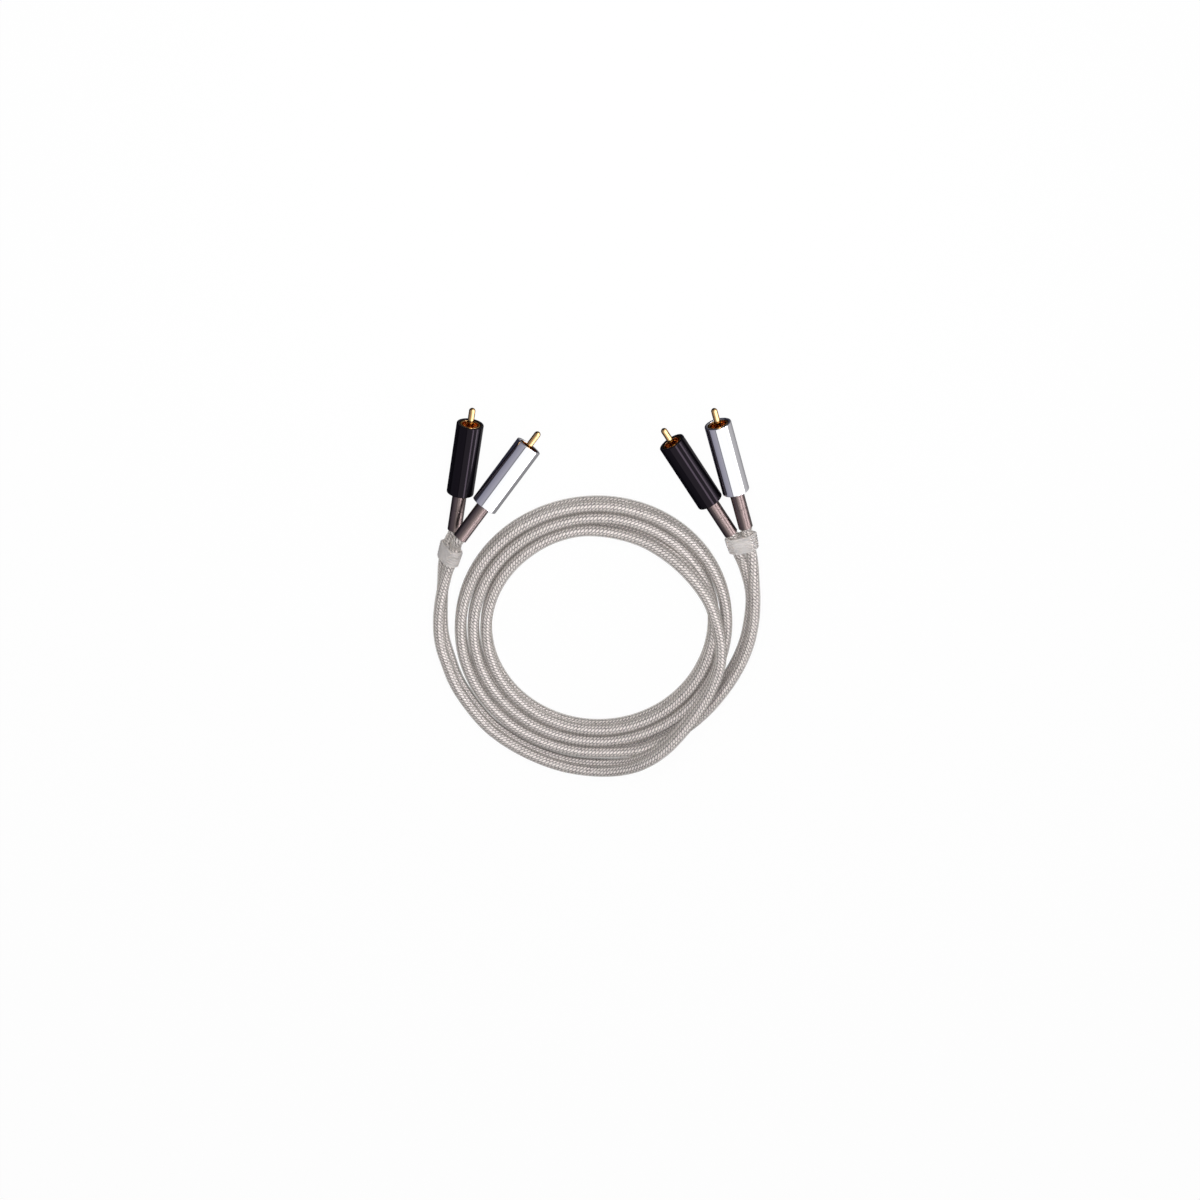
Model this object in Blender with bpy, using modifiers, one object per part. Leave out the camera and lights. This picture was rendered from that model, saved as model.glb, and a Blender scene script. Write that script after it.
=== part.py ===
"""A stereo phono cable, coiled flat on a table.

Two round cores make one twin cable, which lies on edge in three turns and crosses over
itself once. At each end a splitter moulding lets the cores part into two leads, and each
lead ends in a phono plug: one black and one silver plug at each end.

Units are metres and +Z is up. Z = 0 is the table. The origin lies midway between the
plugs of both ends. A plug is built in its own frame: its axis is local Z, its front face
is at Z = 0, and "depth" is the distance behind that face.
"""

import bmesh
import bpy
from math import cos, pi, radians, sin, sqrt
from mathutils import Matrix, Vector
from mathutils.geometry import interpolate_bezier

MM = 0.001
SEAT_GAP = 0.3 * MM

# Cable
CORE_DIAMETER = 5.9 * MM
CORE_SPACING = CORE_DIAMETER
WEB_WIDTH = 1.4 * MM
CABLE_STEP = 12.0 * MM

# Coil: the innermost turn's radius, and what each turn adds to it
COIL_CENTRE = Vector((0.7 * MM, -80.1 * MM))
COIL_RADIUS = 57.3 * MM
TURN_PITCH = 6.5 * MM
COIL_START = radians(125)
COIL_END = radians(985)
COIL_POINTS_A_TURN = 24
STEP_OUT_START = radians(-40)
STEP_OUT_END = radians(95)

# Plug shell
SHELL_DIAMETER = 13.6 * MM
SHELL_LENGTH = 38.0 * MM
SHELL_EDGE = 0.5 * MM
SHELL_REAR_WALL = 4.5 * MM
SHELL_CAVITY_WALL = 1.1 * MM
MOUTH_DEPTH = 9.0 * MM

# Ground collar in the shell's mouth
COLLAR_DIAMETER = 10.0 * MM
COLLAR_BORE = 8.3 * MM
COLLAR_RECESS = 0.6 * MM
COLLAR_FLANGE = 1.5 * MM
COLLAR_WEB_DEPTH = 8.5 * MM
COLLAR_WEB_BORE = 5.4 * MM
TAIL_WALL = 0.8 * MM
TAIL_END_DEPTH = 24.0 * MM

# Centre pin and its insulator
PIN_DIAMETER = 3.2 * MM
PIN_REACH = 8.6 * MM
PIN_FLANGE_DIAMETER = 4.6 * MM
PIN_FLANGE_DEPTH = 2.6 * MM
PIN_FLANGE_LENGTH = 0.8 * MM
SOLDER_CUP_BORE = 2.0 * MM
SOLDER_CUP_DEPTH = 3.0 * MM
PIN_END_DEPTH = 13.0 * MM
INSULATOR_BOSS = 1.8 * MM

# Crimp ferrule and the wire from the lead to the pin
CRIMP_WALL = 0.6 * MM
CRIMP_LENGTH = 9.0 * MM
LEAD_END_DEPTH = 18.0 * MM
CONDUCTOR_DIAMETER = 1.2 * MM
WIRE_DIAMETER = 2.6 * MM

# Sleeve behind the shell
SLEEVE_DIAMETER = 7.2 * MM
SLEEVE_BORE = 6.2 * MM
SLEEVE_REACH = 20.6 * MM
SLEEVE_FLANGE_LENGTH = 1.6 * MM
SLEEVE_RING_DEPTH = 0.12 * MM
SLEEVE_RING_WIDTH = 0.5 * MM
SLEEVE_RING_PLACE = 9.0 * MM

# Splitter moulding
SPLITTER_LENGTH = 8.6 * MM
SPLITTER_WIDTH = 16.6 * MM
SPLITTER_THICKNESS = 7.8 * MM
SPLITTER_TAPER = 1.4 * MM
SPLITTER_RIBS = 6
RIB_DEPTH = 0.6 * MM
SOCKET_DEPTH = 2.6 * MM
SOCKET_DIAMETER = CORE_DIAMETER + SEAT_GAP
LEAD_SPACING = 6.8 * MM
LEAD_BEND = 0.4
LEAD_BEND_POINTS = 7
TWIN_STRAIGHT = 1.5 * MM

# Facets round a turned piece that shows, and round one inside
OUTER_STEPS = 20
INNER_STEPS = 14

# Where the plugs lie: each end's shells all but meet at their rear corners. A plug has its
# heading from +Y towards +X, its nose-down angle, its side of the meeting point, its
# clearance to that point and how far forward its rear face is from it.
PLUG_ENDS = {
    "left": {
        "meeting": Vector((-61.4 * MM, -5.7 * MM)),
        "black": {"heading": 8.7, "dip": 0.0, "side": -1, "clear": 0.6 * MM, "forward": 1.3 * MM},
        "silver": {"heading": 37.2, "dip": 10.5, "side": 1, "clear": -1.8 * MM, "forward": 1.7 * MM},
    },
    "right": {
        "meeting": Vector((63.4 * MM, -4.7 * MM)),
        "black": {"heading": -31.3, "dip": 0.0, "side": -1, "clear": 0.7 * MM, "forward": 0.5 * MM},
        "silver": {"heading": -14.8, "dip": 0.0, "side": 1, "clear": -0.3 * MM, "forward": 0.6 * MM},
    },
}

# Where the splitters lie: centre, the direction from the plugs to the twin cable, and the
# roll that lifts the silver plug's side
SPLITTERS = {
    "left": {
        "centre": Vector((-74.3 * MM, -36.6 * MM, 8.0 * MM)),
        "towards_twin": Vector((-0.275, -0.961, 0)),
        "roll": 62.0,
    },
    "right": {
        "centre": Vector((73.2 * MM, -31.4 * MM, 6.2 * MM)),
        "towards_twin": Vector((0.24, -0.971, 0)),
        "roll": 0.0,
    },
}

# The twin cable's route where it isn't coiled, in millimetres, with its lean in degrees
# (0 stands on edge, and more leans the first core outwards from the coil). The first
# list runs from the left splitter round the outside of the coil and over it to its
# inside, and the second from the coil's outside to the right splitter.
LEFT_ROUTE = [
    (-76.8, -46.0, 7.2, -20),
    (-77.8, -53.0, 6.2, -7),
    (-79.0, -62.2, 5.9, 6),
    (-79.8, -73.5, 5.8, 14),
    (-79.4, -84.9, 5.8, 16),
    (-76.8, -96.4, 5.8, 16),
    (-70.9, -113.2, 5.9, 12),
    (-58.5, -132.5, 5.9, 8),
    (-45.5, -144.5, 5.9, 6),
    (-30.1, -153.6, 6.0, 6),
    (-14.5, -158.7, 6.6, 9),
    (1.9, -159.6, 8.4, 14),
    (15.7, -156.4, 12.6, 3),
    (26.5, -149.6, 17.0, 0),
    (35.9, -141.3, 18.5, 0),
    (44.8, -130.4, 18.5, 0),
    (52.3, -119.0, 18.4, 0),
    (58.3, -107.4, 18.3, 0),
    (61.9, -96.4, 18.3, 0),
    (62.8, -86.0, 18.3, 0),
    (61.4, -74.0, 18.3, 0),
    (56.5, -58.0, 18.3, 0),
    (48.1, -45.0, 17.4, 0),
    (37.3, -35.7, 13.0, 0),
    (24.0, -28.8, 8.4, 2),
    (9.0, -24.8, 6.2, 4),
    (-6.5, -23.4, 5.9, 2),
    (-20.1, -26.5, 5.9, 0),
]
RIGHT_ROUTE = [
    (18.9, -149.6, 5.9, 0),
    (32.1, -144.6, 5.9, 2),
    (44.1, -137.2, 5.9, 5),
    (55.5, -126.4, 5.9, 8),
    (65.1, -113.4, 5.9, 10),
    (71.8, -101.0, 5.9, 12),
    (76.4, -88.4, 5.8, 14),
    (78.7, -75.4, 5.8, 16),
    (79.2, -62.9, 5.8, 15),
    (77.9, -51.9, 5.6, 30),
    (76.0, -42.2, 5.7, 60),
]


def clear_scene():
    """Remove what the scene holds."""
    for item in list(bpy.data.objects):
        bpy.data.objects.remove(item)


def new_collection(name):
    collection = bpy.data.collections.new(name)
    bpy.context.scene.collection.children.link(collection)
    return collection


def new_material(name, colour, roughness, metallic=0.0, transmission=0.0):
    material = bpy.data.materials.new(name)
    material.use_nodes = True
    shader = material.node_tree.nodes["Principled BSDF"]
    shader.inputs["Base Color"].default_value = (*colour, 1.0)
    shader.inputs["Roughness"].default_value = roughness
    shader.inputs["Metallic"].default_value = metallic
    shader.inputs["Transmission Weight"].default_value = transmission
    return material


def place(item, collection, material=None, parent=None):
    collection.objects.link(item)
    if material:
        item.data.materials.append(material)
    item.parent = parent
    return item


def turned(name, profile, closed, steps, collection, material, parent):
    """A turned piece from (radius, depth) points that run down its outer side from the front."""
    mesh = bpy.data.meshes.new(name)
    points = [(radius, 0.0, -depth) for radius, depth in profile]
    edges = [(i, i + 1) for i in range(len(points) - 1)]
    if closed:
        edges.append((len(points) - 1, 0))
    mesh.from_pydata(points, edges, [])
    piece = place(bpy.data.objects.new(name, mesh), collection, material, parent)
    screw = piece.modifiers.new("turn", "SCREW")
    screw.axis = "Z"
    screw.angle = 2 * pi
    screw.steps = steps
    screw.render_steps = steps
    screw.use_merge_vertices = True
    screw.merge_threshold = 0.00001
    screw.use_smooth_shade = True
    return piece


def tube(name, points, diameter, collection, material):
    """A round tube along world points."""
    curve = bpy.data.curves.new(name, "CURVE")
    curve.dimensions = "3D"
    curve.bevel_depth = diameter / 2
    curve.bevel_resolution = 2
    curve.render_resolution_u = 0
    curve.use_fill_caps = True
    spline = curve.splines.new("POLY")
    spline.points.add(len(points) - 1)
    for control, point in zip(spline.points, points):
        control.co = (*point, 1.0)
    return place(bpy.data.objects.new(name, curve), collection, material)


def smooth_path(points, step):
    """Points a step apart on one smooth curve through the given ones, of any dimension."""
    dense = []
    last = len(points) - 1
    for i in range(last):
        before, start = points[max(i - 1, 0)], points[i]
        end, after = points[i + 1], points[min(i + 2, last)]
        for k in range(16):
            t = k / 16
            dense.append(
                0.5 * (2 * start + (end - before) * t
                       + (2 * before - 5 * start + 4 * end - after) * t ** 2
                       + (3 * start - before - 3 * end + after) * t ** 3)
            )
    dense.append(points[-1])
    lengths = [0.0]
    for a, b in zip(dense, dense[1:]):
        lengths.append(lengths[-1] + (b - a).xyz.length)
    count = max(2, round(lengths[-1] / step))
    path, k = [], 0
    for i in range(count + 1):
        target = lengths[-1] * i / count
        while k < len(dense) - 2 and lengths[k + 1] < target:
            k += 1
        share = (target - lengths[k]) / (lengths[k + 1] - lengths[k])
        path.append(dense[k].lerp(dense[k + 1], share))
    return path


def coil_point(angle):
    """A point of the coil at an angle that keeps counting up through its turns."""
    turns, within = divmod(angle - STEP_OUT_START, 2 * pi)
    share = min(1.0, within / (STEP_OUT_END - STEP_OUT_START))
    step_out = turns - 1 + (1 - cos(pi * share)) / 2
    radius = COIL_RADIUS + TURN_PITCH * max(0.0, step_out)
    x = COIL_CENTRE.x + radius * cos(angle)
    y = COIL_CENTRE.y + radius * sin(angle)
    return Vector((x, y, CORE_DIAMETER, 0.0))


def twin_route():
    """The whole twin cable: (x, y, z, lean) points, CABLE_STEP apart."""
    scale = Vector((MM, MM, MM, pi / 180))
    left = [Vector(a * b for a, b in zip(point, scale)) for point in LEFT_ROUTE]
    right = [Vector(a * b for a, b in zip(point, scale)) for point in RIGHT_ROUTE]
    turn_count = (COIL_END - COIL_START) / (2 * pi)
    count = round(COIL_POINTS_A_TURN * turn_count)
    coil = [coil_point(COIL_START + (COIL_END - COIL_START) * i / count) for i in range(count + 1)]
    first, last = twin_end("left"), list(reversed(twin_end("right")))
    free = smooth_path([first[-1], *left, *coil, *right, last[0]], CABLE_STEP)
    return first[:-1] + free + last[1:]


def twin_end(side):
    """The twin cable's straight end, from inside a splitter to just outside, as route points."""
    frame = splitter_frame(side)
    roll = SPLITTERS[side]["roll"]
    lean = roll - 90 if side == "left" else 90 - roll
    mouth = SPLITTER_LENGTH / 2
    levels = (mouth - SOCKET_DEPTH + SEAT_GAP, mouth + SEAT_GAP, mouth + SEAT_GAP + TWIN_STRAIGHT)
    return [Vector((*(frame @ Vector((0, 0, level))), radians(lean))) for level in levels]


def figure_eight():
    """Outline points of the twin cable's section: two cores joined by a web, cores along Y."""
    radius = CORE_DIAMETER / 2
    offset = CORE_SPACING / 2
    web_height = offset - sqrt(radius ** 2 - (WEB_WIDTH / 2) ** 2)
    lobe = []
    for k in range(7):
        angle = radians(240 - 50 * k)
        lobe.append((radius * cos(angle), offset + radius * sin(angle)))
    upper = [(-WEB_WIDTH / 2, web_height), *lobe, (WEB_WIDTH / 2, web_height)]
    lower = [(-x, -y) for x, y in upper]
    return upper + lower


def twin_cable(parts, helpers, material):
    """The twin cable, swept along its route with its lean."""
    outline = bpy.data.curves.new("twin_section", "CURVE")
    outline.dimensions = "2D"
    section = outline.splines.new("POLY")
    points = figure_eight()
    section.points.add(len(points) - 1)
    for control, (x, y) in zip(section.points, points):
        control.co = (x, y, 0, 1)
    section.use_cyclic_u = True
    guide = place(bpy.data.objects.new("twin_section", outline), helpers)
    guide.hide_render = True
    guide.display_type = "WIRE"

    curve = bpy.data.curves.new("twin_cable", "CURVE")
    curve.dimensions = "3D"
    curve.twist_mode = "Z_UP"
    curve.bevel_mode = "OBJECT"
    curve.bevel_object = guide
    curve.render_resolution_u = 0
    curve.use_fill_caps = True
    route = twin_route()
    spline = curve.splines.new("POLY")
    spline.points.add(len(route) - 1)
    for control, point in zip(spline.points, route):
        control.co = (*point.xyz, 1.0)
        control.tilt = point.w
    return place(bpy.data.objects.new("twin_cable", curve), parts, material)


def plug_frame(side, finish):
    """The plug's own frame in the world: its origin is the middle of its front face."""
    end = PLUG_ENDS[side]
    plug = end[finish]
    heading, dip = radians(plug["heading"]), radians(plug["dip"])
    forward = Vector((sin(heading), cos(heading)))
    across = Vector((cos(heading), -sin(heading)))
    reach = SHELL_DIAMETER / 2 + plug["clear"]
    rear = end["meeting"] + across * plug["side"] * reach + forward * plug["forward"]
    front = rear + forward * SHELL_LENGTH * cos(dip)
    height = SHELL_DIAMETER / 2 * cos(dip)
    turn = Matrix.Rotation(-heading, 4, "Z") @ Matrix.Rotation(radians(-90) - dip, 4, "X")
    return Matrix.Translation((*front, height)) @ turn


def shell(plug, name, parts, material):
    """The turned outer shell, open at its mouth and bored at its rear for the sleeve."""
    outer = SHELL_DIAMETER / 2
    mouth = COLLAR_DIAMETER / 2 + SEAT_GAP
    cavity = outer - SHELL_CAVITY_WALL
    rear_hole = SLEEVE_DIAMETER / 2 + SEAT_GAP
    cavity_end = SHELL_LENGTH - SHELL_REAR_WALL
    profile = [
        (outer - SHELL_EDGE, 0),
        (outer, SHELL_EDGE),
        (outer, SHELL_LENGTH - SHELL_EDGE),
        (outer - SHELL_EDGE, SHELL_LENGTH),
        (rear_hole, SHELL_LENGTH),
        (rear_hole, cavity_end),
        (cavity, cavity_end),
        (cavity, MOUTH_DEPTH),
        (mouth, MOUTH_DEPTH),
        (mouth, 0),
    ]
    return turned(name + "_shell", profile, True, OUTER_STEPS, parts, material, plug)


def collar(plug, name, parts, material):
    """The ground collar: it shows in the mouth, and its tail holds the lead."""
    outer, bore = COLLAR_DIAMETER / 2, COLLAR_BORE / 2
    flange = SHELL_DIAMETER / 2 - SHELL_CAVITY_WALL - SEAT_GAP
    flange_front = MOUTH_DEPTH + SEAT_GAP
    flange_rear = flange_front + COLLAR_FLANGE
    tail_bore = CORE_DIAMETER / 2 + SEAT_GAP
    tail = tail_bore + TAIL_WALL
    profile = [
        (outer, COLLAR_RECESS),
        (outer, flange_front),
        (flange, flange_front),
        (flange, flange_rear),
        (tail, flange_rear),
        (tail, TAIL_END_DEPTH),
        (tail_bore, TAIL_END_DEPTH),
        (tail_bore, flange_rear),
        (COLLAR_WEB_BORE / 2, flange_rear),
        (COLLAR_WEB_BORE / 2, COLLAR_WEB_DEPTH),
        (bore, COLLAR_WEB_DEPTH),
        (bore, COLLAR_RECESS),
    ]
    return turned(name + "_collar", profile, True, OUTER_STEPS, parts, material, plug)


def insulator(plug, name, parts, material):
    """The insulator, seated on the collar's web with a boss through it."""
    outer = COLLAR_BORE / 2 - SEAT_GAP
    boss = COLLAR_WEB_BORE / 2 - SEAT_GAP
    bore = PIN_DIAMETER / 2 + SEAT_GAP
    front = PIN_FLANGE_DEPTH + PIN_FLANGE_LENGTH + SEAT_GAP
    seat = COLLAR_WEB_DEPTH - SEAT_GAP
    profile = [
        (outer, front),
        (outer, seat),
        (boss, seat),
        (boss, seat + INSULATOR_BOSS),
        (bore, seat + INSULATOR_BOSS),
        (bore, front),
    ]
    return turned(name + "_insulator", profile, True, INNER_STEPS, parts, material, plug)


def pin(plug, name, parts, material):
    """The centre pin: round nose, a flange before the insulator and a solder cup behind."""
    radius = PIN_DIAMETER / 2
    cup = SOLDER_CUP_BORE / 2
    nose = [(radius * sin(radians(a)), -PIN_REACH + radius * (1 - cos(radians(a)))) for a in (0, 30, 60, 90)]
    profile = [
        *nose,
        (radius, PIN_FLANGE_DEPTH),
        (PIN_FLANGE_DIAMETER / 2, PIN_FLANGE_DEPTH),
        (PIN_FLANGE_DIAMETER / 2, PIN_FLANGE_DEPTH + PIN_FLANGE_LENGTH),
        (radius, PIN_FLANGE_DEPTH + PIN_FLANGE_LENGTH),
        (radius, PIN_END_DEPTH),
        (cup, PIN_END_DEPTH),
        (cup, PIN_END_DEPTH - SOLDER_CUP_DEPTH),
        (0, PIN_END_DEPTH - SOLDER_CUP_DEPTH),
    ]
    return turned(name + "_pin", profile, False, INNER_STEPS, parts, material, plug)


def sleeve(plug, name, parts, material):
    """The straight tube behind the shell, held by its flange against the rear wall."""
    outer, bore = SLEEVE_DIAMETER / 2, SLEEVE_BORE / 2
    flange = SHELL_DIAMETER / 2 - SHELL_CAVITY_WALL - SEAT_GAP
    flange_rear = SHELL_LENGTH - SHELL_REAR_WALL - SEAT_GAP
    flange_front = flange_rear - SLEEVE_FLANGE_LENGTH
    ring = SHELL_LENGTH + SLEEVE_RING_PLACE
    end = SHELL_LENGTH + SLEEVE_REACH
    profile = [
        (flange, flange_front),
        (flange, flange_rear),
        (outer, flange_rear),
        (outer, ring),
        (outer - SLEEVE_RING_DEPTH, ring + SLEEVE_RING_WIDTH / 2),
        (outer, ring + SLEEVE_RING_WIDTH),
        (outer, end),
        (bore, end),
        (bore, flange_front),
    ]
    return turned(name + "_sleeve", profile, True, OUTER_STEPS, parts, material, plug)


def crimp(plug, name, parts, material):
    """The crimp ferrule round the collar's tail."""
    bore = CORE_DIAMETER / 2 + TAIL_WALL + 2 * SEAT_GAP
    front = TAIL_END_DEPTH - CRIMP_LENGTH
    outer = bore + CRIMP_WALL
    profile = [(outer, front), (outer, TAIL_END_DEPTH), (bore, TAIL_END_DEPTH), (bore, front)]
    return turned(name + "_crimp", profile, True, INNER_STEPS, parts, material, plug)


def core_wire(plug, name, parts, material):
    """The insulated wire from the lead's end, with its bare conductor in the solder cup."""
    bare = PIN_END_DEPTH - SOLDER_CUP_DEPTH + SEAT_GAP
    stripped = PIN_END_DEPTH + SEAT_GAP
    profile = [
        (0, bare),
        (CONDUCTOR_DIAMETER / 2, bare),
        (CONDUCTOR_DIAMETER / 2, stripped),
        (WIRE_DIAMETER / 2, stripped),
        (WIRE_DIAMETER / 2, LEAD_END_DEPTH - SEAT_GAP),
        (0, LEAD_END_DEPTH - SEAT_GAP),
    ]
    return turned(name + "_core_wire", profile, False, INNER_STEPS, parts, material, plug)


def splitter_frame(side):
    """The splitter's frame: local Z runs to the twin cable, local X to the silver plug's side."""
    spot = SPLITTERS[side]
    along = spot["towards_twin"].normalized()
    across = Vector((0, 0, 1)).cross(along)
    roll = radians(spot["roll"])
    width = across * cos(roll) + Vector((0, 0, 1)) * sin(roll)
    turn = Matrix((width, along.cross(width), along)).transposed().to_4x4()
    return Matrix.Translation(spot["centre"]) @ turn


def lead(side, finish, frame, name, parts, material):
    """One core's lead, from the splitter's socket through the sleeve into the plug."""
    splitter = splitter_frame(side)
    offset = LEAD_SPACING / 2 if finish == "silver" else -LEAD_SPACING / 2
    lead_face = -SPLITTER_LENGTH / 2
    socket_floor = splitter @ Vector((offset, 0, lead_face + SOCKET_DEPTH - SEAT_GAP))
    mouth = splitter @ Vector((offset, 0, lead_face - SEAT_GAP))
    sleeve_end = SHELL_LENGTH + SLEEVE_REACH
    entry = frame @ Vector((0, 0, -sleeve_end - SEAT_GAP))
    jacket_end = frame @ Vector((0, 0, -LEAD_END_DEPTH))
    pull = (entry - mouth).length * LEAD_BEND
    leave = mouth + (mouth - socket_floor).normalized() * pull
    arrive = entry + (entry - jacket_end).normalized() * pull
    bend = interpolate_bezier(mouth, leave, arrive, entry, LEAD_BEND_POINTS)
    return tube(name + "_lead", [socket_floor, *bend, jacket_end], CORE_DIAMETER, parts, material)


def stadium(width, thickness, level, count=5):
    """Points of a flat oval section at a level, with round narrow sides."""
    radius = thickness / 2
    middle = width / 2 - radius
    right = []
    for k in range(count):
        angle = radians(-90 + 180 * k / (count - 1))
        right.append(Vector((middle + radius * cos(angle), radius * sin(angle), level)))
    left = [Vector((-point.x, -point.y, level)) for point in right]
    return right + left


def splitter(side, parts, helpers, material):
    """The splitter moulding: a tapered flat oval, ribbed round its narrow sides."""
    name = side + "_splitter"
    sections = []
    levels = 2 * SPLITTER_RIBS + 1
    for k in range(levels):
        share = k / (levels - 1)
        level = SPLITTER_LENGTH * (share - 0.5)
        groove = RIB_DEPTH if k % 2 else 0.0
        width = SPLITTER_WIDTH - SPLITTER_TAPER * share ** 2 - 2 * groove
        sections.append(stadium(width, SPLITTER_THICKNESS, level))
    mesh = bpy.data.meshes.new(name)
    model = bmesh.new()
    rings = [[model.verts.new(point) for point in section] for section in sections]
    for below, above in zip(rings, rings[1:]):
        for i in range(len(below)):
            j = (i + 1) % len(below)
            model.faces.new((below[i], below[j], above[j], above[i]))
    model.faces.new(list(reversed(rings[0])))
    model.faces.new(rings[-1])
    model.to_mesh(mesh)
    model.free()
    body = place(bpy.data.objects.new(name, mesh), parts, material)
    body.matrix_world = splitter_frame(side)

    lead_end = -SPLITTER_LENGTH / 2
    twin_end = SPLITTER_LENGTH / 2
    sockets = [
        ("silver_socket", LEAD_SPACING / 2, lead_end),
        ("black_socket", -LEAD_SPACING / 2, lead_end),
        ("twin_socket_1", CORE_SPACING / 2, twin_end),
        ("twin_socket_2", -CORE_SPACING / 2, twin_end),
    ]
    for socket, offset, level in sockets:
        bpy.ops.mesh.primitive_cylinder_add(vertices=20, radius=SOCKET_DIAMETER / 2, depth=2 * SOCKET_DEPTH)
        cutter = bpy.context.object
        cutter.name = name + "_" + socket
        for other in list(cutter.users_collection):
            other.objects.unlink(cutter)
        helpers.objects.link(cutter)
        cutter.hide_render = True
        cutter.display_type = "WIRE"
        cutter.matrix_world = splitter_frame(side) @ Matrix.Translation((offset, 0, level))
        cut = body.modifiers.new(socket, "BOOLEAN")
        cut.operation = "DIFFERENCE"
        cut.object = cutter
    return body


def main():
    clear_scene()
    parts = new_collection("stereo_phono_cable")
    helpers = new_collection("guides_and_cutters")
    finishes = {
        "black": new_material("black lacquer", (0.015, 0.013, 0.018), 0.12),
        "silver": new_material("polished nickel", (0.80, 0.81, 0.84), 0.08, metallic=1.0),
    }
    gold = new_material("gold plate", (0.95, 0.66, 0.22), 0.18, metallic=1.0)
    bronze = new_material("polished gunmetal", (0.30, 0.24, 0.22), 0.2, metallic=1.0)
    nylon = new_material("amber insulator", (0.55, 0.27, 0.10), 0.5)
    copper = new_material("insulated wire", (0.75, 0.20, 0.10), 0.5)
    milky = new_material("milky moulding", (0.78, 0.76, 0.73), 0.4, transmission=0.3)
    jacket = new_material("clear jacket over braid", (0.62, 0.60, 0.58), 0.3)

    for side in ("left", "right"):
        for finish, lacquer in finishes.items():
            name = side + "_" + finish
            frame = plug_frame(side, finish)
            plug = place(bpy.data.objects.new(name + "_plug", None), parts)
            plug.matrix_world = frame
            shell(plug, name, parts, lacquer)
            collar(plug, name, parts, gold)
            insulator(plug, name, parts, nylon)
            pin(plug, name, parts, gold)
            sleeve(plug, name, parts, bronze)
            crimp(plug, name, parts, bronze)
            core_wire(plug, name, parts, copper)
            lead(side, finish, frame, name, parts, jacket)
        splitter(side, parts, helpers, milky)
    twin_cable(parts, helpers, jacket)


main()
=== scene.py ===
"""The finished surface of a stereo phono cable that lies coiled on a pale floor.

A clear-jacketed twin cable over two braided screens runs between two splitter mouldings,
and each of its four leads ends in a plug: one black and one silver at each end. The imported
frame gives every place, lengths are in metres, and +Z is up. A plug is built in its own
frame: its axis is local Z, its front face is at Z = 0, and depth counts back from there.
"""

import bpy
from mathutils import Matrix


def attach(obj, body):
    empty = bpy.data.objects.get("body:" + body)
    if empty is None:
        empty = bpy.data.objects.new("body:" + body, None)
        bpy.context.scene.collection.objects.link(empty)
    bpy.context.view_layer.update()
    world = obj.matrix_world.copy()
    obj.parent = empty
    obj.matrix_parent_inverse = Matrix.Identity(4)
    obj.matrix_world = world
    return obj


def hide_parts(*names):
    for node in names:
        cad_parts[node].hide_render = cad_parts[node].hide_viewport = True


bl_info = {
    "name": "Stereo Phono Cable",
    "version": (1, 0, 0),
    "blender": (4, 5, 0),
    "location": "3D View > Sidebar > Phono Cable",
    "description": "Builds the finished surface of a coiled stereo phono cable",
    "category": "Object",
}

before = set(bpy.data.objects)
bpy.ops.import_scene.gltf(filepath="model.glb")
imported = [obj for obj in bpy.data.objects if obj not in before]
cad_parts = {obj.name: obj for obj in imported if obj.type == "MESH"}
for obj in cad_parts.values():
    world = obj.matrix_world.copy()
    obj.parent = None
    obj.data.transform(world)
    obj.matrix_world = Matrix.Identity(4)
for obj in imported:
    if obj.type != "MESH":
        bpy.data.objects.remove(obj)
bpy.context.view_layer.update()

from math import cos, pi, radians, sin

import bmesh
import bpy
import numpy as np
from bpy.props import FloatProperty, FloatVectorProperty, IntProperty, PointerProperty
from mathutils import Matrix, Vector
from mathutils.geometry import interpolate_bezier

BODY = "root"
MM = 0.001
SIDES = ("left", "right")
FINISHES = ("black", "silver")
UP = Vector((0, 0, 1))

# Room between pieces that seat in each other
SEAT_GAP = 0.3 * MM

# Coil: the innermost turn's radius, and what each turn adds to it
COIL_CENTRE = Vector((0.7 * MM, -80.1 * MM))
COIL_RADIUS = 57.3 * MM
TURN_PITCH = 6.5 * MM
COIL_START = radians(125)
COIL_END = radians(985)
COIL_POINTS_A_TURN = 24
STEP_OUT_START = radians(-40)
STEP_OUT_END = radians(95)

# Splitters: centre, direction from the plugs to the twin cable, and the roll that lifts the
# silver plug's side
SPLITTERS = {
    "left": {
        "centre": Vector((-74.3 * MM, -36.6 * MM, 8.0 * MM)),
        "towards_twin": Vector((-0.275, -0.961, 0)),
        "roll": 62.0,
    },
    "right": {
        "centre": Vector((73.2 * MM, -31.4 * MM, 6.2 * MM)),
        "towards_twin": Vector((0.24, -0.971, 0)),
        "roll": 0.0,
    },
}
SOCKET_DEPTH = 2.6 * MM
LEAD_SPACING = 6.8 * MM
LEAD_BEND = 0.4
TWIN_STRAIGHT = 1.5 * MM
SOCKET_CORNERS = 48
SIDE_POINTS = 25
LEVELS_A_RIB = 12
RIB_ROUNDNESS = 1.3
RIB_FADE = 0.5
CREASE_ANGLE = radians(38)

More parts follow.
